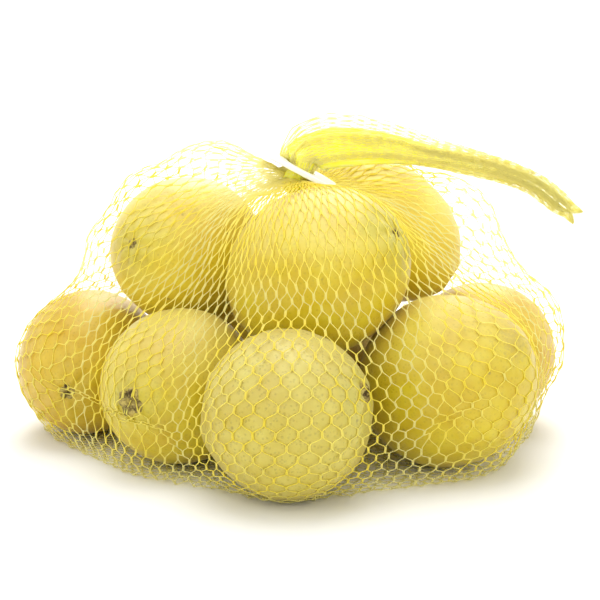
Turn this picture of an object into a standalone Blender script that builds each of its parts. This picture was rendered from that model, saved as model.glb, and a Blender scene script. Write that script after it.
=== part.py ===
"""Net of lemons: ten lemons in a stretched net bag, closed by a plate round its gathered neck.

The bag is one closed solid out to the drawn net. Each lemon is a true oval in its place; the net
spans from fruit to fruit, stands off them at its springy folds, and narrows to the neck. Beyond
the closure plate the net runs on as a flattened tail that ends in two points. Bag and tail are
two solids that meet inside the plate's hole, so that each keeps a simple shape.
Units are metres, +Z is up, and the flat under the bag lies on Z = 0.
"""
from collections import namedtuple
from itertools import combinations
from math import atan2, cos, exp, hypot, pi, radians, sin, sqrt, tau

import bmesh
import bpy
from mathutils import Matrix, Vector
from mathutils.bvhtree import BVHTree

MM = 0.001

# ---- the fruit -------------------------------------------------------------------------------
# Places are in the bag's own frame, in mm. A fruit with no height rests on the floor. Turn and
# rise, in degrees, say where its pointed end looks: turn is counted from +X, rise from level.
Lemon = namedtuple("Lemon", "name x y height half_length radius turn rise")
LEMONS = (
    Lemon("far_left", -83.0, 28.0, None, 34.6, 27.6, 82, 6),
    Lemon("front_left", -44.6, -15.8, None, 30.4, 28.9, 59, -2),
    Lemon("front", -4.2, -57.0, None, 29.6, 29.8, 170, -19),
    Lemon("right", 54.2, -20.0, None, 33.0, 31.8, -34, 31),
    Lemon("far_right", 72.4, 37.5, None, 31.5, 28.3, -57, 16),
    Lemon("rear_left", -30.5, 48.0, None, 27.5, 25.0, 115, 5),
    Lemon("rear_right", 17.5, 27.5, None, 29.0, 25.6, 80, 5),
    Lemon("top_left", -43.1, 23.5, 72.3, 31.6, 28.9, 50, -14),
    Lemon("top", 6.6, -15.0, 71.8, 35.2, 30.6, 154, -29),
    Lemon("top_right", 31.0, 38.0, 79.6, 35.0, 26.4, 168, 33),
)
POINTED_END = 3.0          # how far the blossom end stands out of the oval
POINTED_SPREAD = 0.36      # half-angle of that end, in radians
GUIDE_ROUND = 20           # segments and rings of a guide, from which the net's hulls are made
GUIDE_DOWN = 14

# ---- the net round the fruit -----------------------------------------------------------------
NET_OFF_FRUIT = 0.8        # the net's own thickness, all round the fruit
NEAR = 92.0                # fruit whose middles are closer than this share a span of net
SPAN_SINK = 0.87           # a span touches the fruit at this share of its size, so fruit bulge
# How far from the middle of each fruit of the lower layer the net reaches on the floor
FOOT = {"far_left": 22.5, "front_left": 26.0, "front": 6.0, "right": 23.0, "far_right": 24.0,
        "rear_left": 20.0, "rear_right": 20.0}
FOOT_POINTS = 16
FLOOR_NET = 1.0            # thickness of the net that lies flat on the floor
# Balls that fill the folds where the springy net stands clear of the fruit, and what each fold
# is drawn from
Fold = namedtuple("Fold", "name x y height radius beside")
FOLDS = (
    Fold("lip", -14.5, 12.0, 105.5, 5.2, ("top_left", "crest", "neck")),
    Fold("crest", -33.5, 22.0, 95.0, 20.5, ("top_left", "slope", "flank", "neck", "lip")),
    Fold("slope", -53.0, 22.0, 87.0, 18.5, ("top_left", "crest", "flank")),
    Fold("flank", -62.5, 22.0, 69.0, 21.0, ("top_left", "far_left", "crest", "slope")),
    Fold("shoulder", 53.0, 33.0, 76.5, 25.0, ("top_right", "hip")),
    Fold("hip", 75.0, 36.0, 34.0, 30.5, ("top_right", "far_right", "right", "shoulder")),
)
MIDDLE = Vector((-5.0, -8.0, 45.0)) * MM     # the rows of meshes are counted round this point
MESHES_ROUND = 72
MESHES_DOWN = 34
FIRST_POLAR = 13.0                           # degrees from the neck to the first point looked for,
POLAR_STEP = 1.6                             # and between the next ones
FLOOR_REACHED = 0.6                          # a point lower than this is on the floor
EDGE_HALVINGS = 8                            # steps that close in on the floor's edge
SEEN_FROM = 400.0                            # points are looked for from this far outside
SMOOTHINGS = 6
ROWS_KEPT = 3                                # rows beside the floor that keep the skirt's edge

# ---- neck and tail ---------------------------------------------------------------------------
NECK = Vector((0.0, 12.0, 106.2))            # middle of the closure plate, in mm
NECK_LEAN = 62.0                             # degrees above level, towards +X
NECK_RADIUS = 5.2
NECK_POINTS = 12
NECK_BELOW = 3.0                             # the neck's length under and over the plate's middle
NECK_ABOVE = 2.2
FUNNEL_UNDER = 1.9                           # the net keeps this far below the plate's middle
FUNNEL_REACH = 16.0                          # out to here from the neck's axis,
FUNNEL_RISE = 0.9                            # and may climb at this slope beyond
JOIN_GAP = 0.3                               # between bag and tail, inside the plate's hole
PLEATS = 9
PLEAT_DEPTH = 0.10
TAIL_PLEAT_DEPTH = 0.05                      # from where the tail has flattened
# Middle line of the tail past the plate, with its width and thickness there, all in mm
Station = namedtuple("Station", "x y z width thick")
TAIL = (
    Station(1.4, 12.0, 111.6, 20.0, 9.5),
    Station(8.5, 12.0, 116.2, 21.5, 9.0),
    Station(19.5, 12.2, 117.2, 20.0, 7.5),
    Station(34.0, 12.8, 115.8, 16.0, 6.2),
    Station(48.0, 13.4, 112.6, 12.2, 5.4),
    Station(63.0, 14.0, 108.8, 10.6, 4.8),
    Station(77.0, 14.6, 104.8, 9.4, 4.2),
    Station(88.5, 15.0, 100.2, 9.0, 3.6),
    Station(96.5, 15.4, 94.4, 9.2, 3.0),
)
NOTCH_DEPTH = 1.5          # from the last station to the notch between the two points
TIP_LENGTH = 10.0          # the points past the notch
TIP_DRAW = 0.3             # how far they lean together, as a share of the width
TIP_THINS = 0.3            # and how far they thin out, as a share of the thickness
TIP_SHARPNESS = 1.6
TAIL_STEPS = 2             # rings between two stations
FLAT_FROM = 6              # ring where the tail has flattened

# ---- closure plate ---------------------------------------------------------------------------
PLATE_LENGTH = 30.0
PLATE_WIDTH = 20.0
PLATE_THICK = 1.9
PLATE_CORNER = 4.0
PLATE_EDGE = 0.35
PLATE_HOLE = 6.1           # radius
PLATE_MOUTH = 5.0          # width of the slot that the neck is pushed in through
CUTTER_DEPTH = 20.0

NET_YELLOW = (0.86, 0.66, 0.10, 1.0)
PLATE_WHITE = (0.90, 0.90, 0.88, 1.0)


# ---- scene -----------------------------------------------------------------------------------
def clear_scene():
    """Remove every object, so that the script can be run again."""
    for obj in list(bpy.data.objects):
        bpy.data.objects.remove(obj, do_unlink=True)


def new_collection(name):
    collection = bpy.data.collections.new(name)
    bpy.context.scene.collection.children.link(collection)
    return collection


def plastic(name, colour, roughness):
    material = bpy.data.materials.new(name)
    material.use_nodes = True
    shader = material.node_tree.nodes["Principled BSDF"]
    shader.inputs["Base Color"].default_value = colour
    shader.inputs["Roughness"].default_value = roughness
    shader.inputs["Metallic"].default_value = 0.0
    return material


# ---- fruit as guides for the net -------------------------------------------------------------
def pointing(lemon):
    """Unit vector towards the fruit's pointed end."""
    turn, rise = radians(lemon.turn), radians(lemon.rise)
    return Vector((cos(rise) * cos(turn), cos(rise) * sin(turn), sin(rise)))


def middle_of(lemon):
    """Middle of the fruit; one with no height of its own stands on the floor."""
    height = lemon.height
    if height is None:
        lean = pointing(lemon).z
        height = sqrt(lemon.radius ** 2 + (lemon.half_length ** 2 - lemon.radius ** 2) * lean ** 2)
    return Vector((lemon.x, lemon.y, height)) * MM


def lemon_cloud(lemon, share=1.0):
    """Points on the fruit's skin, a net's thickness out, or at a share of its size."""
    mesh = bmesh.new()
    bmesh.ops.create_uvsphere(mesh, u_segments=GUIDE_ROUND, v_segments=GUIDE_DOWN, radius=1.0)
    toward = pointing(lemon)
    turned = toward.to_track_quat("Z", "Y").to_matrix()
    radius = (lemon.radius + NET_OFF_FRUIT) * MM * share
    length = (lemon.half_length + NET_OFF_FRUIT) * MM * share
    points = []
    for vert in mesh.verts:
        angle = atan2(hypot(vert.co.x, vert.co.y), vert.co.z)
        end = POINTED_END * MM * exp(-(angle / POINTED_SPREAD) ** 2)
        local = Vector((vert.co.x * radius, vert.co.y * radius, vert.co.z * length + end))
        points.append(middle_of(lemon) + turned @ local)
    mesh.free()
    return points


def ball_cloud(fold):
    """Points on the ball that fills a fold."""
    mesh = bmesh.new()
    bmesh.ops.create_uvsphere(mesh, u_segments=GUIDE_ROUND, v_segments=GUIDE_DOWN,
                              radius=fold.radius * MM)
    place = Vector((fold.x, fold.y, fold.height)) * MM
    points = [place + vert.co for vert in mesh.verts]
    mesh.free()
    return points


def foot_cloud(lemon):
    """Ring on the floor that the net reaches round a fruit of the lower layer."""
    reach = FOOT[lemon.name] * MM
    middle = middle_of(lemon)
    return [Vector((middle.x + reach * cos(a), middle.y + reach * sin(a), 0.0))
            for a in (tau * k / FOOT_POINTS for k in range(FOOT_POINTS))]


def inside_fruit(point):
    """Where a net point that has sunk into a fruit is put back to, or None if it is clear."""
    for lemon in LEMONS:
        toward = pointing(lemon)
        offset = point - middle_of(lemon)
        along = offset.dot(toward)
        across = (offset - along * toward).length
        depth = hypot(along / ((lemon.half_length + NET_OFF_FRUIT) * MM),
                      across / ((lemon.radius + NET_OFF_FRUIT) * MM))
        if depth < 1.0:
            return middle_of(lemon) + offset / depth
    return None


def under_plate(point):
    """Where a net point that stands too high beside the closure plate is drawn down to, or None."""
    along, _ = along_and_wide(radians(NECK_LEAN))
    offset = point / MM - NECK
    rise = offset.dot(along)
    reach = (offset - rise * along).length
    limit = FUNNEL_RISE * max(reach - FUNNEL_REACH, 0.0) - FUNNEL_UNDER
    if rise > limit:
        return point - along * (rise - limit) * MM
    return None


def hull_into(target, points):
    """Add the convex hull of the points to the target mesh."""
    start = [target.verts.new(point) for point in points]
    made = bmesh.ops.convex_hull(target, input=start, use_existing_faces=False)
    unused = set(made["geom_interior"] + made["geom_unused"])
    loose = [item for item in unused if isinstance(item, bmesh.types.BMVert)]
    bmesh.ops.delete(target, geom=loose, context="VERTS")


def drawn_net():
    """Tree of the fruit and of the hulls of each three near neighbours, which the net spans."""
    clouds, middles = {}, {}
    for lemon in LEMONS:
        clouds[lemon.name] = lemon_cloud(lemon, SPAN_SINK)
        middles[lemon.name] = middle_of(lemon)
        if lemon.height is None:
            clouds[lemon.name] += foot_cloud(lemon)
    for fold in FOLDS:
        clouds[fold.name] = ball_cloud(fold)
        middles[fold.name] = Vector((fold.x, fold.y, fold.height)) * MM
    clouds["neck"] = [neck_point(tau * k / NECK_POINTS, -NECK_BELOW, 0.0)
                      for k in range(NECK_POINTS)]
    middles["neck"] = NECK * MM
    beside = {fold.name: fold.beside for fold in FOLDS}
    beside["neck"] = ("top_left", "top", "top_right", "crest", "lip")

    def near(one, other):
        if one in beside and other not in beside[one]:
            return False
        if other in beside and one not in beside[other]:
            return False
        return (middles[one] - middles[other]).length < NEAR * MM

    guide = bmesh.new()
    for trio in combinations(clouds, 3):
        if all(near(one, other) for one, other in combinations(trio, 2)):
            hull_into(guide, [point for name in trio for point in clouds[name]])
    for lemon in LEMONS:
        skirt = foot_cloud(lemon) if lemon.height is None else []
        hull_into(guide, lemon_cloud(lemon) + skirt)
    hull_into(guide, [point + Vector((0.0, 0.0, height * MM))
                      for lemon in LEMONS if lemon.height is None
                      for point in foot_cloud(lemon) for height in (0.0, FLOOR_NET)])
    tree = BVHTree.FromBMesh(guide)
    guide.free()
    return tree


# ---- neck and tail ---------------------------------------------------------------------------
def along_and_wide(lean):
    """Direction of the neck or tail at a lean in radians, and the direction of its width."""
    return Vector((cos(lean), 0.0, sin(lean))), Vector((-sin(lean), 0.0, cos(lean)))


def neck_point(angle, rise, pleat_depth=PLEAT_DEPTH):
    """Point on the pleated neck at an angle round it, rise mm past the closure plate's middle."""
    along, wide = along_and_wide(radians(NECK_LEAN))
    radius = NECK_RADIUS * (1.0 + pleat_depth * cos(PLEATS * angle))
    across = radius * cos(angle) * wide + radius * sin(angle) * Vector((0.0, 1.0, 0.0))
    return (NECK + along * rise + across) * MM


def smooth_stations():
    """Stations of the tail with more between them, on a smooth curve through them all."""
    stations = []
    for k in range(len(TAIL) - 1):
        before, here = TAIL[max(k - 1, 0)], TAIL[k]
        there, after = TAIL[k + 1], TAIL[min(k + 2, len(TAIL) - 1)]
        for step in range(TAIL_STEPS):
            t = step / TAIL_STEPS
            blend = [0.5 * (2 * b + (c - a) * t + (2 * a - 5 * b + 4 * c - d) * t * t
                            + (3 * b - a - 3 * c + d) * t ** 3)
                     for a, b, c, d in zip(before, here, there, after)]
            stations.append(Station(*blend))
    stations.append(TAIL[-1])
    return stations


def round_angles(shifted):
    """Angles of one ring of meshes; every other ring is set half a mesh on."""
    return [tau * (k + 0.5 * shifted) / MESHES_ROUND for k in range(MESHES_ROUND)]


def tail_ring(here, lean, pleat_depth, shifted):
    """Flattened, pleated ring round one station of the tail."""
    _, wide = along_and_wide(lean)
    ring = []
    for angle in round_angles(shifted):
        pleat = 1.0 + pleat_depth * cos(PLEATS * angle)
        thin = Vector((0.0, here.thick / 2 * sin(angle) * pleat, 0.0))
        ring.append((Vector(here[:3]) + wide * (here.width / 2 * cos(angle)) + thin) * MM)
    return ring


def tip_ring(last, lean, shifted):
    """End of the tail: both edges run on to a point, past the notch between them."""
    along, wide = along_and_wide(lean)
    ring = []
    for angle in round_angles(shifted):
        point = abs(cos(angle)) ** TIP_SHARPNESS
        across = wide * (last.width / 2 * cos(angle) * (1.0 - TIP_DRAW * point))
        thin = Vector((0.0, last.thick / 2 * sin(angle) * (1.0 - TIP_THINS * point), 0.0))
        end = Vector(last[:3]) + along * (NOTCH_DEPTH + TIP_LENGTH * point)
        ring.append((end + across + thin) * MM)
    return ring


def tail_rings():
    """Rings of points from inside the closure plate to the two points."""
    rings = [[neck_point(angle, JOIN_GAP / 2) for angle in round_angles(False)],
             [neck_point(angle, NECK_ABOVE) for angle in round_angles(True)]]
    stations = smooth_stations()
    for k, here in enumerate(stations):
        before, after = stations[max(k - 1, 0)], stations[min(k + 1, len(stations) - 1)]
        lean = atan2(after.z - before.z, after.x - before.x) if k else radians(NECK_LEAN)
        depth = PLEAT_DEPTH if k < FLAT_FROM else TAIL_PLEAT_DEPTH
        rings.append(tail_ring(here, lean, depth, len(rings) % 2 == 1))
    rings.append(tip_ring(stations[-1], lean, len(rings) % 2 == 1))
    return rings


# ---- the bag ---------------------------------------------------------------------------------
def meridian(tree, column):
    """Points down the drawn net from beside the neck to the floor, at one of 2 x MESHES_ROUND."""
    up = (neck_point(0.0, -NECK_BELOW) + neck_point(pi, -NECK_BELOW)) / 2 - MIDDLE
    up.normalize()
    _, wide = along_and_wide(radians(NECK_LEAN))
    side = up.cross(wide).normalized()
    wide = side.cross(up)
    angle = tau * column / (2 * MESHES_ROUND)
    out = wide * cos(angle) + side * sin(angle)

    def net_at(polar):
        direction = up * cos(polar) + out * sin(polar)
        return tree.ray_cast(MIDDLE + direction * SEEN_FROM * MM, -direction)[0]

    line = [neck_point(angle, -NECK_BELOW)]
    polar, step = radians(FIRST_POLAR), radians(POLAR_STEP)
    hit = net_at(polar)
    while hit.z > FLOOR_REACHED * MM:
        line.append(hit)
        polar += step
        hit = net_at(polar)
    for _ in range(EDGE_HALVINGS):
        step /= 2
        polar += step if net_at(polar).z > FLOOR_REACHED * MM else -step
    hit = net_at(polar)
    hit.z = 0.0
    line.append(hit)
    return line


def evenly(line, count):
    """The line's points spread out evenly along it."""
    lengths = [0.0]
    for a, b in zip(line, line[1:]):
        lengths.append(lengths[-1] + (b - a).length)
    spread, k = [], 0
    for n in range(count + 1):
        goal = lengths[-1] * n / count
        while k < len(line) - 2 and lengths[k + 1] < goal:
            k += 1
        share = (goal - lengths[k]) / (lengths[k + 1] - lengths[k])
        spread.append(line[k].lerp(line[k + 1], min(share, 1.0)))
    return spread


def bridge(mesh, upper, lower, lower_is_shifted):
    """Half-meshes between two rings of equal count, set half a mesh apart."""
    count = len(upper)
    for k in range(count):
        after = (k + 1) % count
        if lower_is_shifted:
            mesh.faces.new((upper[k], lower[k], upper[after]))
            mesh.faces.new((upper[after], lower[k], lower[after]))
        else:
            mesh.faces.new((upper[k], lower[k], lower[after]))
            mesh.faces.new((upper[k], lower[after], upper[after]))


def rings_to_mesh(mesh, rings):
    """Vertices and half-meshes of a run of rings; the first is not shifted. Returns the rings."""
    made = [[mesh.verts.new(point) for point in ring] for ring in rings]
    for number, (upper, lower) in enumerate(zip(made, made[1:])):
        bridge(mesh, upper, lower, number % 2 == 0)
    return made


def close_tips(mesh, ring, shifted):
    """Close the flat end by joining each point of one side to the one opposite."""
    count = len(ring)
    if shifted:
        pairs = [(k, count - 1 - k) for k in range(count // 2)]
    else:
        pairs = [(k, (count - k) % count) for k in range(count // 2 + 1)]
    for (a, b), (c, d) in zip(pairs, pairs[1:]):
        corners = []
        for corner in (a, c, d, b):
            if ring[corner] not in corners:
                corners.append(ring[corner])
        mesh.faces.new(corners)


def draw_tight(mesh, free):
    """Smooth the net between the fruit, and keep it off them and under the closure plate."""
    for _ in range(SMOOTHINGS):
        bmesh.ops.smooth_vert(mesh, verts=free, factor=0.5, use_axis_x=True, use_axis_y=True,
                              use_axis_z=True)
        for vert in free:
            vert.co = under_plate(vert.co) or vert.co
            vert.co = inside_fruit(vert.co) or vert.co


def face_out(mesh):
    """Turn every face of the closed mesh outwards."""
    bmesh.ops.recalc_face_normals(mesh, faces=mesh.faces)
    if mesh.calc_volume(signed=True) < 0.0:
        bmesh.ops.reverse_faces(mesh, faces=mesh.faces)


def net_bag_mesh():
    """The drawn net from the neck's end inside the plate down to the flat on the floor."""
    tree = drawn_net()
    lines = [evenly(meridian(tree, column), MESHES_DOWN) for column in range(2 * MESHES_ROUND)]
    rows = [[lines[2 * k + row % 2][row] for k in range(MESHES_ROUND)]
            for row in range(MESHES_DOWN + 1)]
    mesh = bmesh.new()
    rings = rings_to_mesh(mesh, rows)
    draw_tight(mesh, [vert for ring in rings[1:-ROWS_KEPT] for vert in ring])
    neck_end = [mesh.verts.new(neck_point(a, -JOIN_GAP / 2)) for a in round_angles(True)]
    bridge(mesh, neck_end, rings[0], False)
    mesh.faces.new(neck_end)
    mesh.faces.new(rings[-1])
    face_out(mesh)
    return mesh


def net_tail_mesh():
    """The spare net past the plate, from its round end inside the plate to its two points."""
    mesh = bmesh.new()
    rings = rings_to_mesh(mesh, tail_rings())
    mesh.faces.new(rings[0])
    close_tips(mesh, rings[-1], len(rings) % 2 == 0)
    face_out(mesh)
    return mesh


def build_net(name, work, material, collection, root):
    """One object of the net from its finished bmesh."""
    mesh = bpy.data.meshes.new(name)
    work.to_mesh(mesh)
    work.free()
    mesh.shade_smooth()
    mesh.set_sharp_from_angle(angle=radians(50.0))
    net = bpy.data.objects.new(name, mesh)
    net.parent = root
    net.data.materials.append(material)
    collection.objects.link(net)
    return net


# ---- closure plate ---------------------------------------------------------------------------
def moved_to(obj, collection):
    for old in list(obj.users_collection):
        old.objects.unlink(obj)
    collection.objects.link(obj)


def cutter(name, collection, parent):
    tool = bpy.context.object
    tool.name = name
    tool.parent = parent
    tool.hide_render = True
    tool.display_type = "WIRE"
    moved_to(tool, collection)
    return tool


def build_plate(collection, cutters, root):
    """Flat plate with a round hole for the neck and a slot from it to the plate's rear edge."""
    bpy.ops.mesh.primitive_cube_add(size=1.0)
    plate = bpy.context.object
    plate.name = "closure_plate"
    size = Vector((PLATE_LENGTH, PLATE_WIDTH, PLATE_THICK)) * MM
    plate.data.transform(Matrix.Diagonal((*size, 1.0)))
    moved_to(plate, collection)
    work = bmesh.new()
    work.from_mesh(plate.data)
    upright = [e for e in work.edges if abs(e.verts[0].co.z - e.verts[1].co.z) > PLATE_THICK * MM / 2]
    bmesh.ops.bevel(work, geom=upright, offset=PLATE_CORNER * MM, segments=5, profile=0.5,
                    affect="EDGES")
    work.to_mesh(plate.data)
    work.free()

    bpy.ops.mesh.primitive_cylinder_add(vertices=48, radius=PLATE_HOLE * MM, depth=CUTTER_DEPTH * MM)
    hole = cutter("plate_hole", cutters, plate)
    bpy.ops.mesh.primitive_cube_add(size=1.0)
    slot = cutter("plate_slot", cutters, plate)
    slot.data.transform(Matrix.Diagonal((PLATE_MOUTH * MM, PLATE_WIDTH * MM, CUTTER_DEPTH * MM, 1.0)))
    slot.location.y = -PLATE_WIDTH / 2 * MM
    for tool in (hole, slot):
        cut = plate.modifiers.new(tool.name, "BOOLEAN")
        cut.operation = "DIFFERENCE"
        cut.solver = "EXACT"
        cut.object = tool
    edge = plate.modifiers.new("edge", "BEVEL")
    edge.width = PLATE_EDGE * MM
    edge.segments = 2
    edge.limit_method = "ANGLE"
    edge.angle_limit = radians(60.0)

    along, wide = along_and_wide(radians(NECK_LEAN))
    turned = Matrix((wide, along.cross(wide), along)).transposed().to_4x4()
    plate.matrix_world = Matrix.Translation(NECK * MM) @ turned
    plate.parent = root
    plate.data.shade_smooth()
    plate.data.set_sharp_from_angle(angle=radians(35.0))
    plate.data.materials.append(plastic("white_plate", PLATE_WHITE, 0.4))
    return plate


def main():
    clear_scene()
    model = new_collection("net_of_lemons")
    cutters = new_collection("cutters")
    root = bpy.data.objects.new("base_middle", None)
    model.objects.link(root)
    yellow = plastic("yellow_net", NET_YELLOW, 0.5)
    bag = build_net("net_bag", net_bag_mesh(), yellow, model, root)
    tail = build_net("net_tail", net_tail_mesh(), yellow, model, root)
    build_plate(model, cutters, root)
    corners = [Vector(corner) for net in (bag, tail) for corner in net.bound_box]
    low_x, high_x = min(c.x for c in corners), max(c.x for c in corners)
    low_y, high_y = min(c.y for c in corners), max(c.y for c in corners)
    root.location = (-(low_x + high_x) / 2, -(low_y + high_y) / 2, 0.0)


main()
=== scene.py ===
"""Looks of the net of lemons: ten waxed lemons in an extruded yellow net, and its white plate.

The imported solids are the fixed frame. The net is laid out as rows of welded links on the bag's
solid, evened out, settled on the lemons and tucked, and made as one mesh of round filaments per
stretch of net. It runs on through the closure plate into the gathered tail.
Sizes are in millimetres in the bag's own frame, and metres in Blender.
"""

import logging
from dataclasses import dataclass
from enum import Enum
from math import atan2, cos, exp, hypot, pi, radians, sin, sqrt, tau
from typing import Any, Iterable, Sequence

import bpy
import numpy as np
from mathutils import Matrix, Vector, noise
from mathutils.bvhtree import BVHTree


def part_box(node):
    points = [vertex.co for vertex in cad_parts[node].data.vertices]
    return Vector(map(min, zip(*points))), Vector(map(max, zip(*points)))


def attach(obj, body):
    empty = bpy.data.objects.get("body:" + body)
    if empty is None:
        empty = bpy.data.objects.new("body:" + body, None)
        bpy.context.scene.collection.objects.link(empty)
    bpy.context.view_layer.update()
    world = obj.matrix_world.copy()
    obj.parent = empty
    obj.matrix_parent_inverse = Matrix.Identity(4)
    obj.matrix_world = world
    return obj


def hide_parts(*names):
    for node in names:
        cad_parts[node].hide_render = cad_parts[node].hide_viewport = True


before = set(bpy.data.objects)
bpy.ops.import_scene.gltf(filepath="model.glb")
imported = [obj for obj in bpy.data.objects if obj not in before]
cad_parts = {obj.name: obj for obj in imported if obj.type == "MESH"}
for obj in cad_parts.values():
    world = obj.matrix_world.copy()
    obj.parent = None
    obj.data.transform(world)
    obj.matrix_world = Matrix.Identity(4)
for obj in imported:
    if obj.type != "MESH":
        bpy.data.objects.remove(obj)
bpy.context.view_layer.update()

LOG = logging.getLogger("net_of_lemons")
Socket = bpy.types.NodeSocket
Tree = bpy.types.NodeTree
Material = bpy.types.Material
MM = 0.001
FREE = "free"                                 # how freely the net hangs, as a value on its points; it sets where the net's colour is painted paler

# The closure plate's middle and lean, as in the part's source; the plate's box gives the shift
# from the bag's own frame to the row frame.
NECK = Vector((0.0, 12.0, 106.2))
NECK_LEAN = radians(62.0)
PLATE_LOW, PLATE_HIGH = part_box("closure_plate")
SHIFT = (PLATE_LOW + PLATE_HIGH) / 2 - NECK * MM


# ---- small helpers ---------------------------------------------------------------------------
def linear(hex_colour: str) -> tuple[float, float, float, float]:
    """Turn an sRGB hex colour into a linear one.

    Args:
        hex_colour: six hex digits after a hash.

    Returns:
        Red, green, blue and an alpha of 1.
    """
    channels = [int(hex_colour[k:k + 2], 16) / 255 for k in (1, 3, 5)]
    red, green, blue = (c / 12.92 if c <= 0.04045 else ((c + 0.055) / 1.055) ** 2.4
                        for c in channels)
    return red, green, blue, 1.0


def placed(point: Vector) -> Vector:
    """A point of the bag's own frame, in mm, as metres in the row frame."""
    return point * MM + SHIFT


def add_node(tree: Tree, kind: str, settings: dict[Any, Any] | None = None,
             links: dict[Any, Socket] | None = None) -> bpy.types.Node:
    """Add one node with its settings and the links into it.

    Args:
        tree: the tree that gets the node.
        kind: the node's type name, without the part that all shader nodes share.
        settings: attribute names, or names and numbers of inputs, with their values.
        links: names or numbers of inputs with the sockets that feed them.

    Returns:
        The new node.
    """
    node = tree.nodes.new(f"ShaderNode{kind}")
    for name, value in (settings or {}).items():
        if isinstance(name, str) and hasattr(node, name):
            setattr(node, name, value)
        else:
            node.inputs[name].default_value = value
    for name, socket in (links or {}).items():
        tree.links.new(socket, node.inputs[name])
    return node


def new_material(name: str) -> tuple[Material, Tree]:
    """An empty node material and its tree."""
    material = bpy.data.materials.new(name)
    material.use_nodes = True
    material.node_tree.nodes.clear()
    return material, material.node_tree


def own_place(tree: Tree) -> Socket:
    """The object's own coordinates."""
    return add_node(tree, "TexCoord").outputs["Object"]


def axis_of(tree: Tree, vector: Socket, axis: str) -> Socket:
    """One axis of a vector."""
    return add_node(tree, "SeparateXYZ", links={0: vector}).outputs[axis]


def grain(tree: Tree, place: Socket, size: float, detail: float = 2.0,
          roughness: float = 0.5) -> Socket:
    """Even noise.

    Args:
        tree: the material's tree.
        place: the coordinates.
        size: of the grain, in metres.
        detail: how many finer layers it has.
        roughness: how strong they are.

    Returns:
        The noise, about 0.3 to 0.7.
    """
    return add_node(tree, "TexNoise", {"Scale": 1 / size, "Detail": detail, "Roughness": roughness},
                    {"Vector": place}).outputs["Fac"]


def ranged(tree: Tree, value: Socket, start: float, end: float, low: float = 0.0,
           high: float = 1.0, eased: bool = False) -> Socket:
    """Map a value between two ends to another two, and hold it beyond them.

    Args:
        tree: the material's tree.
        value: the value to map.
        start: where the result is low.
        end: where the result is high.
        low: the result at the start.
        high: the result at the end.
        eased: whether it starts and ends gently.

    Returns:
        The result.
    """
    return add_node(tree, "MapRange",
                    {"interpolation_type": "SMOOTHSTEP" if eased else "LINEAR", "From Min": start,
                     "From Max": end, "To Min": low, "To Max": high}, {"Value": value}).outputs[0]


def mixed(tree: Tree, share: Socket, first: Socket | str, second: str) -> Socket:
    """A mix of two colours.

    Args:
        tree: the material's tree.
        share: of the second colour.
        first: a colour so far, or a hex colour.
        second: a hex colour.

    Returns:
        The mix.
    """
    settings, links = {"data_type": "RGBA", 7: linear(second)}, {0: share}
    if isinstance(first, str):
        settings[6] = linear(first)
    else:
        links[6] = first
    return add_node(tree, "Mix", settings, links).outputs[2]


def bumped(tree: Tree, height: Socket, strength: float, distance: float) -> Socket:
    """Normals of a low relief, from its heights, their strength and their depth in metres."""
    return add_node(tree, "Bump", {"Strength": strength, "Distance": distance},
                    {"Height": height}).outputs["Normal"]


def principled(tree: Tree, settings: dict[str, Any], links: dict[str, Socket]) -> Socket:
    """A surface from settings and links by the names of its inputs."""
    return add_node(tree, "BsdfPrincipled", settings, links).outputs[0]


def put_out(tree: Tree, surface: Socket) -> None:
    """Make a surface the material's result."""
    add_node(tree, "OutputMaterial", links={"Surface": surface})


def mesh_object(name: str, points: np.ndarray, faces: np.ndarray,
                caps: Sequence[Sequence[int]] = ()) -> bpy.types.Object:
    """A smooth-shaded object from arrays.

    Args:
        name: the object's name.
        points: n x 3 places, in metres.
        faces: m x 4 point numbers of the quads.
        caps: further faces of any number of corners.

    Returns:
        The object, linked to the scene.
    """
    mesh = bpy.data.meshes.new(name)
    corners = np.concatenate([faces.ravel(), *[np.asarray(cap) for cap in caps]]).astype(np.int32)
    counts = np.concatenate([np.full(len(faces), faces.shape[1]), [len(cap) for cap in caps]])
    starts = np.concatenate([[0], np.cumsum(counts)[:-1]]).astype(np.int32)
    mesh.vertices.add(len(points))
    mesh.vertices.foreach_set("co", np.asarray(points, np.float32).ravel())
    mesh.loops.add(len(corners))
    mesh.loops.foreach_set("vertex_index", corners)
    mesh.polygons.add(len(counts))
    mesh.polygons.foreach_set("loop_start", starts)
    mesh.update(calc_edges=True)
    mesh.validate()
    mesh.shade_smooth()
    obj = bpy.data.objects.new(name, mesh)
    bpy.context.scene.collection.objects.link(obj)
    return obj


def ring_quads(rings: int, count: int, first: int = 0) -> np.ndarray:
    """Quads between neighbouring rings of points.

    Args:
        rings: how many rings there are.
        count: points in a ring.
        first: number of the first ring.

    Returns:
        Point numbers of the quads, n x 4.
    """
    here, after = np.arange(count), (np.arange(count) + 1) % count
    return np.concatenate([
        np.stack([row * count + here, (row + 1) * count + here,
                  (row + 1) * count + after, row * count + after], axis=1)
        for row in range(first, first + rings - 1)])


def turned_over(quads: np.ndarray) -> np.ndarray:
    """The same quads, facing the other way, each from the same first corner."""
    return np.roll(quads[:, ::-1], 1, axis=1)


def surface_tree(mesh: bpy.types.Mesh) -> BVHTree:
    """A search tree of a mesh's faces."""
    return BVHTree.FromPolygons([v.co for v in mesh.vertices],
                                [tuple(p.vertices) for p in mesh.polygons])


def unit(vectors: np.ndarray) -> np.ndarray:
    """Each vector of an array at length 1."""
    return vectors / np.maximum(np.linalg.norm(vectors, axis=-1, keepdims=True), 1e-9)


def smooth_step(t: np.ndarray | float) -> np.ndarray | float:
    """Ease from 0 to 1 as t goes from 0 to 1, and stay there beyond."""
    t = np.clip(t, 0.0, 1.0)
    return t * t * (3.0 - 2.0 * t)


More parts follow.
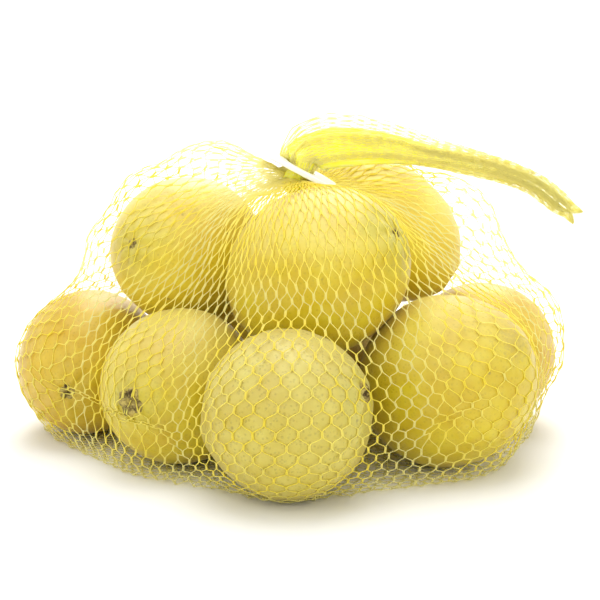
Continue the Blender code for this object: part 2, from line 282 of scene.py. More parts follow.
def finish_piece(piece: bpy.types.Object, material: Material,
                 stands_for: Iterable[str] = ()) -> None:
    """Dress a piece, tie it to the body, and hide the CAD parts that it replaces.

    Args:
        piece: the finished object, in place.
        material: its material.
        stands_for: the CAD nodes that it replaces.
    """
    piece.data.materials.clear()
    piece.data.materials.append(material)
    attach(piece, "root")
    if stands_for:
        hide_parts(*stands_for)
    LOG.info("%s: %d faces", piece.name, len(piece.data.polygons))


# ---- finishes --------------------------------------------------------------------------------
class Tone(Enum):
    """How ripe a lemon's rind looks, as its main and its deeper colour."""
    PALE = ("#cdbe54", "#c2ad38")
    BRIGHT = ("#e2cc36", "#d6b91c")
    RIPE = ("#d6c225", "#cbae12")
    DEEP = ("#d6b71a", "#cba30b")


@dataclass(frozen=True)
class WaxedLemonRind:
    """Waxed lemon rind, grown: fine oil pores under a thin wax that gives a broad soft sheen."""
    tone: Tone
    seed: float
    green: float = 0.35                       # how green the stem end is
    pores: float = 1.0                        # how plainly the oil pores show
    scuff: float = 0.0                        # how plainly the grey rubbed patch shows
    scuff_at: tuple[float, float, float] = (0.0, 0.0, 0.0)    # its middle on the lemon, in mm
    pore_spacing: float = 1.5 * MM
    mottle_size: float = 16.0 * MM
    bloom_size: float = 6.0 * MM
    green_edge: float = 9.0 * MM              # how uneven the green end's edge is
    speck_spacing: float = 11.0 * MM
    fine_grain: float = 0.5 * MM
    pore_depth: float = 0.12 * MM
    soft_depth: float = 1.6 * MM              # how far light spreads in the rind
    bloom_hex: str = "#e9da84"                # thicker wax, paler in patches
    painted_top_light_hex: str = "#f7f0bc"                # painted highlight: the paler colour mixed in where the rind faces up
    painted_top_light: float = 0.34                 # how strongly that painted highlight shows
    green_hex: str = "#a9a646"
    speck_hex: str = "#8d7a3c"
    scuff_hex: str = "#a8935a"
    roughness: float = 0.42
    ior: float = 1.45

    def material(self, name: str, half_length: float, matrix: Matrix) -> Material:
        """The rind of one lemon, in that lemon's own coordinates.

        Args:
            name: the material's name.
            half_length: from its middle to an end, in metres.
            matrix: the lemon's place in the row frame.

        Returns:
            The material.
        """
        material, tree = new_material(name)
        place = add_node(tree, "Mapping",
                         {"vector_type": "TEXTURE", "Location": tuple(matrix.translation),
                          "Rotation": tuple(matrix.to_euler())}, {"Vector": own_place(tree)}).outputs[0]
        moved = add_node(tree, "VectorMath",
                         {"operation": "ADD", 1: (self.seed, self.seed * 0.7, -self.seed)},
                         {0: place}).outputs[0]
        mottle = grain(tree, moved, self.mottle_size, 3.0, 0.55)
        colour = mixed(tree, ranged(tree, mottle, 0.34, 0.68), *self.tone.value)
        bloom = grain(tree, moved, self.bloom_size, 4.0, 0.6)
        colour = mixed(tree, ranged(tree, bloom, 0.46, 0.72, high=0.14), colour, self.bloom_hex)

        # Painted highlight: the colour is mixed paler on what faces up, standing in for the light from
        # above.
        facing = axis_of(tree, add_node(tree, "NewGeometry").outputs["Normal"], "Z")
        colour = mixed(tree, ranged(tree, facing, 0.1, 0.95, high=self.painted_top_light), colour,
                       self.painted_top_light_hex)

        # Greener towards the stem, which is the end at -Z, up to an uneven edge.
        uneven = add_node(tree, "Math", {"operation": "MULTIPLY_ADD", 1: self.green_edge},
                          {0: grain(tree, moved, self.green_edge),
                           2: axis_of(tree, place, "Z")}).outputs[0]
        near_stem = ranged(tree, uneven, -0.62 * half_length, -1.02 * half_length,
                           high=self.green, eased=True)
        colour = mixed(tree, near_stem, colour, self.green_hex)

        # Oil pores: small round pits, each painted a little darker than the rind between them, as shade
        # in the pit.
        pores = add_node(tree, "TexVoronoi",
                         {"feature": "SMOOTH_F1", "Scale": 1 / self.pore_spacing,
                          "Smoothness": 0.35, "Randomness": 0.9}, {"Vector": moved}).outputs["Distance"]
        pit = ranged(tree, pores, 0.12, 0.42, eased=True)
        pit_shade = ranged(tree, pit, 0.0, 1.0, low=1.0 - 0.1 * self.pores)
        colour = add_node(tree, "VectorMath", {"operation": "SCALE"},
                          {0: colour, "Scale": pit_shade}).outputs[0]

        # A few brown specks, and on some lemons a grey patch where the rind was rubbed.
        specks = add_node(tree, "TexVoronoi",
                          {"feature": "F1", "Scale": 1 / self.speck_spacing, "Randomness": 1.0},
                          {"Vector": moved}).outputs["Distance"]
        colour = mixed(tree, ranged(tree, specks, 0.075, 0.03, high=0.65), colour, self.speck_hex)
        if self.scuff:
            colour = self.rubbed(tree, colour, place)

        relief = add_node(tree, "Math", {"operation": "MULTIPLY_ADD", 1: 0.12},
                          {0: grain(tree, moved, self.fine_grain), 2: pit}).outputs[0]
        bump = bumped(tree, relief, min(0.5 * self.pores, 1.0), self.pore_depth)
        put_out(tree, principled(
            tree, {"Roughness": self.roughness, "IOR": self.ior, "Subsurface Weight": 0.12,
                   "Subsurface Radius": (1.0, 0.7, 0.12), "Subsurface Scale": self.soft_depth,
                   "Coat Weight": 0.22, "Coat Roughness": 0.4, "Sheen Weight": 0.12,
                   "Sheen Roughness": 0.35}, {"Base Color": colour, "Normal": bump}))
        return material

    def rubbed(self, tree: Tree, colour: Socket, place: Socket) -> Socket:
        """Grey rubbed patch with a broken edge.

        Args:
            tree: the rind's node tree.
            colour: the rind's colour so far.
            place: the lemon's own coordinates.

        Returns:
            The colour with the patch.
        """
        away = add_node(tree, "VectorMath",
                        {"operation": "DISTANCE", 1: tuple(v * MM for v in self.scuff_at)},
                        {0: place}).outputs["Value"]
        reach = add_node(tree, "Math", {"operation": "MULTIPLY_ADD", 1: 34 * MM, 2: -11 * MM},
                         {0: grain(tree, place, 1.3 * MM, 5.0, 0.7)}).outputs[0]
        inside = add_node(tree, "Math", {"operation": "SUBTRACT"}, {0: reach, 1: away}).outputs[0]
        share = ranged(tree, inside, -2.0 * MM, 4.0 * MM, high=self.scuff)
        return mixed(tree, share, colour, self.scuff_hex)


@dataclass(frozen=True)
class DryStemButton:
    """Dried calyx and stem scar of a lemon: matt, fibrous, grey-green going brown in the middle."""
    leaf_hex: str = "#c6b262"
    scar_hex: str = "#43300a"
    roughness: float = 0.85

    def material(self) -> Material:
        """The button's material, in its own coordinates."""
        material, tree = new_material("dry_stem_button")
        fibres = grain(tree, own_place(tree), 2.4 * MM, 5.0, 0.7)
        colour = mixed(tree, ranged(tree, fibres, 0.4, 0.62), self.scar_hex, self.leaf_hex)
        put_out(tree, principled(tree, {"Roughness": self.roughness},
                                 {"Base Color": colour, "Normal": bumped(tree, fibres, 0.8, 0.3 * MM)}))
        return material


@dataclass(frozen=True)
class ExtrudedPolyethyleneNet:
    """Extruded and stretched polyethylene: smooth, waxy, and it lets some light through."""
    main_hex: str = "#fff25c"
    drawn_hex: str = "#fff794"                # paler where the strand is stretched thin
    painted_light_hex: str = "#fffbc0"                 # painted light: palest where it hangs free, as if lit all round
    clearness: float = 0.64                   # of the free net's surface
    roughness: float = 0.38
    ior: float = 1.51
    through: float = 0.5                      # share of the light that a strand lets through
    drawn_size: float = 14.0 * MM

    def material(self) -> Material:
        """The net's material: a waxy surface mixed with light that comes through the strand."""
        material, tree = new_material("extruded_polyethylene_net")
        drawn = ranged(tree, grain(tree, own_place(tree), self.drawn_size), 0.35, 0.7)
        free = add_node(tree, "Attribute", {"attribute_name": FREE}).outputs["Fac"]
        # Painted light: the colour goes towards the palest where the net hangs free or lies on the floor.
        colour = mixed(tree, free, mixed(tree, drawn, self.main_hex, self.drawn_hex), self.painted_light_hex)
        alpha = ranged(tree, free, 0.0, 1.0, low=1.0, high=1.0 - self.clearness)
        surface = principled(tree, {"Roughness": self.roughness, "IOR": self.ior},
                             {"Base Color": colour, "Alpha": alpha})
        light = add_node(tree, "BsdfTranslucent", links={"Color": colour}).outputs[0]
        put_out(tree, add_node(tree, "MixShader", {0: self.through}, {1: surface, 2: light}).outputs[0])
        return material


@dataclass(frozen=True)
class PressedNetLayers:
    """Many layers of the same net pressed together: deep yellow, streaked, and light goes through."""
    main_hex: str = "#fffb4c"
    light_hex: str = "#fffda0"                # streaks where a layer stands off
    pale_hex: str = "#fffbd2"                 # at the thin end
    streak_length: float = 14.0 * MM
    streak_width: float = 0.7 * MM
    pale_between: tuple[float, float] = (0.035, 0.105)    # where the layers thin out, along X
    roughness: float = 0.5
    ior: float = 1.51
    soft_depth: float = 6.0 * MM              # how far light spreads between the layers

    def material(self) -> Material:
        """The layers' material, with streaks that run along the tail."""
        material, tree = new_material("pressed_polyethylene_net")
        place = own_place(tree)
        drawn_out = add_node(tree, "VectorMath",
                             {"operation": "MULTIPLY",
                              1: (1 / self.streak_length, 1 / self.streak_width, 1 / self.streak_width)},
                             {0: place}).outputs[0]
        streak = grain(tree, drawn_out, 1.0, 3.0)
        colour = mixed(tree, ranged(tree, streak, 0.45, 0.7), self.main_hex, self.light_hex)
        paler = ranged(tree, axis_of(tree, place, "X"), *self.pale_between)
        colour = mixed(tree, paler, colour, self.pale_hex)
        put_out(tree, principled(
            tree, {"Roughness": self.roughness, "IOR": self.ior, "Subsurface Weight": 0.9,
                   "Subsurface Radius": (1.0, 0.85, 0.3), "Subsurface Scale": self.soft_depth},
            {"Base Color": colour, "Normal": bumped(tree, streak, 0.5, 0.25 * MM)}))
        return material


@dataclass(frozen=True)
class MouldedPolystyrene:
    """Moulded white polystyrene: even, glossy, and a little soft at its thin edges."""
    white_hex: str = "#f6f6f2"
    roughness: float = 0.3
    ior: float = 1.59

    def material(self) -> Material:
        """The plate's material, with the faint orange peel of a cheap mould."""
        material, tree = new_material("moulded_polystyrene")
        peel = grain(tree, own_place(tree), 1.8 * MM)
        put_out(tree, principled(
            tree, {"Base Color": linear(self.white_hex), "Roughness": self.roughness,
                   "IOR": self.ior, "Subsurface Weight": 0.3,
                   "Subsurface Radius": (1.0, 1.0, 1.0), "Subsurface Scale": 1.0 * MM},
            {"Normal": bumped(tree, peel, 0.2, 0.05 * MM)}))
        return material


# ---- lemons ----------------------------------------------------------------------------------
class Stem(Enum):
    """What is left of a lemon's stem: the calyx's width, its thickness, its lobes, their depth."""
    STAR = (11.6, 1.2, 4, 0.17)
    DISC = (6.5, 0.55, 5, 0.16)
    BUTTON = (8.8, 1.2, 3, 0.12)
    SCAR = (4.4, 0.4, 5, 0.10)


@dataclass
class Lemon:
    """One lemon, from its place and the way its pointed end looks, as in the part's source."""
    name: str
    x: float
    y: float
    height: float | None
    half_length: float
    radius: float
    turn: float
    rise: float
    roll: float
    stem: Stem
    rind: WaxedLemonRind
    segments: int = 144
    rings: int = 96
    point_height: float = 3.0                 # of the blossom end, out of the oval
    point_spread: float = 0.36
    tip: tuple[float, float] = (0.8, 0.13)    # each a height in mm and a spread in radians
    dimple: tuple[float, float] = (-0.9, 0.32)
    collar: tuple[float, float] = (1.5, 0.12)
    ribs: tuple[float, float] = (0.35, 0.16)
    ribs_at: float = 0.24                     # from the stem, in radians
    lump_size: float = 24.0
    lumps: tuple[tuple[float, float], ...] = ((0.75, 1.0), (0.22, 3.7), (0.07, 11.0))

    @property
    def pointing(self) -> Vector:
        """Unit vector towards the pointed end."""
        turn, rise = radians(self.turn), radians(self.rise)
        return Vector((cos(rise) * cos(turn), cos(rise) * sin(turn), sin(rise)))

    @property
    def middle(self) -> Vector:
        """Its middle in the bag's own frame; without a height of its own it lies on the floor."""
        height = self.height
        if height is None:
            height = sqrt(self.radius ** 2
                          + (self.half_length ** 2 - self.radius ** 2) * self.pointing.z ** 2)
        return Vector((self.x, self.y, height))

    @property
    def matrix(self) -> Matrix:
        """Its place in the row frame, with the pointed end at local +Z."""
        turned = self.pointing.to_track_quat("Z", "Y").to_matrix().to_4x4()
        return Matrix.Translation(placed(self.middle)) @ turned @ Matrix.Rotation(self.roll, 4, "Z")

    def depth_of(self, points: np.ndarray, clearance: float) -> tuple[np.ndarray, np.ndarray]:
        """Where places are in the lemon's smooth oval.

        Args:
            points: any array of places, in mm in the bag's own frame.
            clearance: how much larger the oval is taken, in mm.

        Returns:
            Shares of the way out to the oval, and offsets from its middle.
        """
        toward = np.array(self.pointing)
        offset = points - np.array(self.middle)
        along = offset @ toward
        across = np.linalg.norm(offset - along[..., None] * toward, axis=-1)
        end = self.point_height * np.exp(-(np.arctan2(across, along) / self.point_spread) ** 2)
        return np.hypot(along / (self.half_length + end + clearance),
                        across / (self.radius + clearance)), offset

    def skin(self, polar: float, round_angle: float) -> Vector:
        """A point of the rind, in metres in the lemon's own frame.

        Args:
            polar: angle from the pointed end.
            round_angle: angle about the axis.

        Returns:
            The point.
        """
        from_stem = pi - polar

        def swelling(angle: float, height: float, spread: float) -> float:
            """A round swelling at an angle from its middle."""
            return height * exp(-(angle / spread) ** 2)

        ends = (swelling(polar, self.point_height, self.point_spread) + swelling(polar, *self.tip)
                + swelling(from_stem, *self.dimple) + swelling(from_stem, *self.collar))
        ribs = (swelling(from_stem - self.ribs_at, *self.ribs)
                * cos(7 * round_angle + self.rind.seed))
        outward = Vector((sin(polar) * cos(round_angle), sin(polar) * sin(round_angle), cos(polar)))
        oval = Vector((self.radius * outward.x, self.radius * outward.y,
                       self.half_length * outward.z + ends))
        seat = oval / self.lump_size + Vector((self.rind.seed, 3.1, -self.rind.seed))
        swell = sum(height * noise.noise(seat * finer) for height, finer in self.lumps)
        return (oval + outward * (swell - 0.1 + ribs)) * MM

    def build(self) -> bpy.types.Object:
        """The rind as a closed mesh, finer towards both ends."""
        matrix = self.matrix
        steps = [k / self.rings for k in range(1, self.rings)]
        polars = [pi * (0.55 * t + 0.45 * (0.5 - 0.5 * cos(pi * t))) for t in steps]
        points = [matrix @ self.skin(polar, tau * k / self.segments)
                  for polar in polars for k in range(self.segments)]
        points += [matrix @ self.skin(0.0, 0.0), matrix @ self.skin(pi, 0.0)]
        quads = ring_quads(len(polars), self.segments)
        top, bottom = len(points) - 2, len(points) - 1
        last = (len(polars) - 1) * self.segments
        caps = [(top, k, (k + 1) % self.segments) for k in range(self.segments)]
        caps += [(bottom, last + (k + 1) % self.segments, last + k) for k in range(self.segments)]
        piece = mesh_object(f"lemon_{self.name}", np.array(points), quads, caps)
        finish_piece(piece, self.rind.material(f"waxed_lemon_rind_{self.name}",
                                                       self.half_length * MM, matrix))
        return piece

    def build_stem(self, material: Material) -> bpy.types.Object:
        """The dried calyx with its scar, sunk into the rind's dimple.

        Args:
            material: the dry button's material.

        Returns:
            The piece.
        """
        width, thickness, lobes, depth = self.stem.value
        count, rings = 72, 12
        matrix, points = self.matrix, []
        for ring in range(rings + 1):
            share = ring / rings
            for k in range(count):
                angle = tau * k / count
                cleft = (0.5 - 0.5 * cos(lobes * angle)) ** 2.5
                edge = 1.0 - depth * cleft
                edge *= 1.0 + 0.16 * noise.noise(Vector((2 * cos(angle), 2 * sin(angle), self.rind.seed)))
                rind = self.skin(pi - share * width / 2 * edge / self.radius, angle)
                lump = noise.noise(Vector((rind.x, rind.y, self.rind.seed * MM)) / (1.1 * MM))
                crown = exp(-((share - 0.34) / 0.1) ** 2) - 0.6 * exp(-(share / 0.2) ** 2)
                body = (1.0 - 0.75 * cleft * min(2 * share, 1.0) + 0.4 * lump) * (1 - share ** 5)
                rise = thickness * (body + 0.7 * crown - 0.4 * share ** 8)
                points.append(matrix @ Vector((rind.x, rind.y, rind.z - rise * MM)))
        points.append(matrix @ (self.skin(pi, 0.0) - Vector((0.0, 0.0, 0.4 * thickness * MM))))
        quads = turned_over(ring_quads(rings, count, first=1))
        caps = [(len(points) - 1, count + (k + 1) % count, count + k) for k in range(count)]
        piece = mesh_object(f"stem_{self.name}", np.array(points), quads, caps)
        finish_piece(piece, material)
        return piece


# The rinds' values for the upper side set how strong the painted highlight is there.
LEMONS = (
    Lemon("far_left", -83.0, 28.0, None, 34.6, 27.6, 82, 6, 0.4, Stem.DISC,
          WaxedLemonRind(Tone.DEEP, 1.3, green=0.3, painted_top_light=0.06)),
    Lemon("front_left", -44.6, -15.8, None, 30.4, 28.9, 59, -2, 1.9, Stem.STAR,
          WaxedLemonRind(Tone.RIPE, 2.9, green=0.55, painted_top_light=0.26)),
    Lemon("front", -4.2, -57.0, None, 29.6, 29.8, 161, -21, 0.9, Stem.BUTTON,
          WaxedLemonRind(Tone.PALE, 4.1, green=0.5, pores=1.7, painted_top_light=0.2)),
    Lemon("right", 54.2, -20.0, None, 33.0, 31.8, -34, 31, 2.2, Stem.SCAR,
          WaxedLemonRind(Tone.RIPE, 5.3, green=0.2, painted_top_light=0.16,
                         scuff=0.4, scuff_at=(3.5, 2.5, 33.0))),
    Lemon("far_right", 72.4, 37.5, None, 31.5, 28.3, -57, 16, 0.0, Stem.SCAR,
          WaxedLemonRind(Tone.DEEP, 6.7, painted_top_light=0.1)),
    Lemon("rear_left", -30.5, 48.0, None, 27.5, 25.0, 115, 5, 1.2, Stem.DISC,
          WaxedLemonRind(Tone.RIPE, 7.9)),
    Lemon("rear_right", 17.5, 27.5, None, 29.0, 25.6, 80, 5, 2.5, Stem.SCAR,
          WaxedLemonRind(Tone.DEEP, 11.9)),
    Lemon("top_left", -43.1, 23.5, 72.3, 31.6, 28.9, 50, -14, 0.3, Stem.SCAR,
          WaxedLemonRind(Tone.BRIGHT, 8.3, green=0.6)),
    Lemon("top", 6.6, -15.0, 71.8, 35.2, 30.6, 154, -29, 2.8, Stem.SCAR,
          WaxedLemonRind(Tone.RIPE, 9.1, green=0.75)),
    Lemon("top_right", 31.0, 38.0, 79.6, 35.0, 26.4, 168, 33, 1.1, Stem.SCAR,
          WaxedLemonRind(Tone.BRIGHT, 10.7, green=0.2)),
)


# ---- net -------------------------------------------------------------------------------------
@dataclass(frozen=True)
class Mesh:
    """One mesh of the net: a welded link where two filaments run side by side, and its strands."""
    round_count: int = 84
    link: float = 2.1
    strand: float = 4.3
    filament: float = 0.33                    # diameter of a drawn strand
    weld: float = 1.6                         # a filament is this much thicker in a link
    beside: float = 0.21                      # from a link's middle to each of its filaments
    sides: int = 5


@dataclass
class Lattice:
    """Middles of the links, rows x round_count x 3, in mm; odd rows are set half a mesh on."""
    middles: np.ndarray

    def below(self, row: int) -> tuple[np.ndarray, np.ndarray]:
        """Numbers of the links down to the left and right, which are also those up to them."""
        numbers = np.arange(self.middles.shape[1])
        if row % 2:
            return numbers, (numbers + 1) % len(numbers)
        return (numbers - 1) % len(numbers), numbers

    def halfway(self, row: int, other: int) -> np.ndarray:
        """Points between the two links of another row that each link of a row is tied to."""
        left, right = self.below(row)
        return (self.middles[other][left] + self.middles[other][right]) / 2

    def evened(self, share: float) -> np.ndarray:
        """The middles, moved by a share towards the mean of their four neighbours."""
        moved = self.middles.copy()
        for row in range(1, len(moved) - 1):
            goal = (self.halfway(row, row - 1) + self.halfway(row, row + 1)) / 2
            moved[row] += share * (goal - moved[row])
        return moved

    def down(self) -> tuple[np.ndarray, np.ndarray]:
        """Each link's direction down the net, and how far apart the rows are there."""
        last = len(self.middles) - 1
        gap = np.array([
            (self.halfway(row, row + 1) if row < last else self.middles[row])
            - (self.halfway(row, row - 1) if row else self.middles[row])
            for row in range(last + 1)])
        spans = np.where((np.arange(last + 1) % last) == 0, 1.0, 2.0)[:, None]
        return unit(gap), np.linalg.norm(gap, axis=-1) / spans


def filament_links(rows: int, count: int) -> tuple[np.ndarray, np.ndarray]:
    """Which link each filament runs through in each row, and on which side of it.

    Args:
        rows: how many rows there are.
        count: links in a row.

    Returns:
        Numbers of the links and sides of -1 or 1, both filaments x rows.
    """
    filaments = np.arange(2 * count)
    odd = filaments % 2
    numbers, sides = [], []
    for row in range(rows):
        numbers.append(filaments // 2 if row % 2 else (filaments + 1) // 2 % count)
        sides.append(2 * odd - 1 if row % 2 else 1 - 2 * odd)
    return np.stack(numbers, axis=1), np.stack(sides, axis=1)


def tube_mesh(name: str, paths: np.ndarray, outward: np.ndarray, radii: np.ndarray,
              free: np.ndarray, sides: int) -> bpy.types.Object:
    """Round tubes along many paths of equal length, closed at both ends.

    Args:
        name: the object's name.
        paths: tubes x points x 3, in mm in the bag's own frame.
        outward: the net's outward direction at each point.
        radii: tubes x points, in mm.
        free: how freely the net hangs at each point, from 0 to 1.
        sides: faces round a tube.

    Returns:
        The object.
    """
    tubes, count = paths.shape[:2]
    along = unit(np.gradient(paths, axis=1))
    across = unit(np.cross(along, outward))
    lift = np.cross(along, across)
    angles = np.arange(sides) * tau / sides
    ring = (across[:, :, None] * np.cos(angles)[None, None, :, None]
            + lift[:, :, None] * np.sin(angles)[None, None, :, None])
    points = paths[:, :, None] + ring * radii[:, :, None, None]
    points = points.reshape(-1, 3) * MM + np.array(SHIFT)

    tube, step, side = np.meshgrid(np.arange(tubes), np.arange(count - 1), np.arange(sides),
                                   indexing="ij")
    here = (tube * count + step) * sides
    there = here + sides
    after = (side + 1) % sides
    quads = np.stack([here + side, here + after, there + after, there + side], axis=-1)
    starts = [[(t * count) * sides + s for s in reversed(range(sides))] for t in range(tubes)]
    ends = [[(t * count + count - 1) * sides + s for s in range(sides)] for t in range(tubes)]
    piece = mesh_object(name, points, quads.reshape(-1, 4), starts + ends)
    value = piece.data.attributes.new(FREE, "FLOAT", "POINT")
    value.data.foreach_set("value", np.repeat(free.ravel(), sides).astype(np.float32))
    return piece


def strands(lattice: Lattice, mesh: Mesh, thickness: np.ndarray,
            seed: int) -> tuple[np.ndarray, np.ndarray, np.ndarray]:
    """Paths of the filaments through their links, with a quick bend where they part.

    Args:
        lattice: the links.
        mesh: the sizes of one mesh.
        thickness: of the filaments in each row, as a share of a drawn strand's.
        seed: for the strands' small differences.

    Returns:
        Paths, outward directions and radii, each filaments x points.
    """
    chance = np.random.default_rng(seed)
    middles = lattice.middles
    down, pitch = lattice.down()
    down = unit(down + chance.normal(0.0, 0.09, down.shape))
    beside = unit(np.roll(middles, -1, axis=1) - np.roll(middles, 1, axis=1))
    outward = unit(np.cross(down, beside))
    beside = np.cross(outward, down)
    half = down * (np.minimum(mesh.link, 0.6 * pitch) / 2)[..., None]

    rows, count = middles.shape[:2]
    numbers, sides = filament_links(rows, count)
    row = np.arange(rows)[None, :]
    direction, out = down[row, numbers], outward[row, numbers]
    offset = beside[row, numbers] * (sides * mesh.beside)[..., None]
    top = (middles - half)[row, numbers] + offset
    bottom = (middles + half)[row, numbers] + offset

    start, end = bottom[:, :-1], top[:, 1:]
    reach = np.linalg.norm(end - start, axis=-1, keepdims=True)
    pull_start, pull_end = direction[:, :-1] * reach * 0.5, direction[:, 1:] * reach * 0.5
    bow = chance.normal(0.0, 0.12, reach.shape) * beside[row, numbers][:, :-1]
    parts = [top[:, :-1], start]
    for t in (0.24, 0.76):
        h = (2 * t ** 3 - 3 * t ** 2 + 1, t ** 3 - 2 * t ** 2 + t,
             3 * t ** 2 - 2 * t ** 3, t ** 3 - t ** 2)
        parts.append(h[0] * start + h[1] * pull_start + h[2] * end + h[3] * pull_end + bow)
    turns = [out[:, :-1], out[:, :-1], (3 * out[:, :-1] + out[:, 1:]) / 4,
             (out[:, :-1] + 3 * out[:, 1:]) / 4]
    filaments, spans = start.shape[:2]
    paths = np.stack(parts, axis=2).reshape(filaments, spans * 4, 3)
    outs = np.stack(turns, axis=2).reshape(filaments, spans * 4, 3)
    paths = np.concatenate([paths, top[:, -1:], bottom[:, -1:]], axis=1)
    outs = np.concatenate([outs, out[:, -1:], out[:, -1:]], axis=1)

    radii = np.repeat(thickness * mesh.filament / 2, 4)[:paths.shape[1]] * np.ones(paths.shape[:2])
    radii *= chance.uniform(0.9, 1.1, (filaments, 1))
    swell = chance.uniform(0.9, 1.1, (filaments, rows)) * mesh.weld
    radii[:, 0::4] *= swell
    radii[:, 1::4] *= swell
    return paths, outs, radii


@dataclass(frozen=True)
class Ball:
    """A ball that the springy net stands out over, where it is clear of the fruit."""
    x: float
    y: float
    height: float
    radius: float


@dataclass(frozen=True)
class Tuck:
    """A line along which the slack net lies bunched, its rows of meshes drawn close together."""
    points: tuple[tuple[float, float, float], ...]
    reach: float = 11.0                       # how far beside the line the net is drawn in
    closeness: float = 1.35

    def nearest(self, places: np.ndarray) -> tuple[np.ndarray, np.ndarray, np.ndarray]:
        """How places lie beside the line.

        Args:
            places: any array of places, in mm in the bag's own frame.

        Returns:
            Their offsets from the line, their distances from it, and how far along it they are.
        """
        nearest = np.full(places.shape[:-1], np.inf)
        away, share = np.zeros_like(places), np.zeros(places.shape[:-1])
        stretches = len(self.points) - 1
        for number, (a, b) in enumerate(zip(np.array(self.points), np.array(self.points)[1:])):
            t = np.clip((places - a) @ (b - a) / ((b - a) @ (b - a)), 0.0, 1.0)
            offset = places - a - t[..., None] * (b - a)
            distance = np.linalg.norm(offset, axis=-1)
            nearer = distance < nearest
            nearest = np.where(nearer, distance, nearest)
            away = np.where(nearer[..., None], offset, away)
            share = np.where(nearer, (number + t) / stretches, share)
        return away, nearest, share

    def draw_in(self, places: np.ndarray) -> np.ndarray:
        """Move places beside the line towards it, least at the line's two ends."""
        away, nearest, share = self.nearest(places)
        strength = self.closeness * np.sqrt(np.maximum(np.sin(pi * share), 0.0))
        left = np.clip(nearest / self.reach, 1e-3, 1.0) ** strength
        return places - away * (1.0 - left)[..., None]


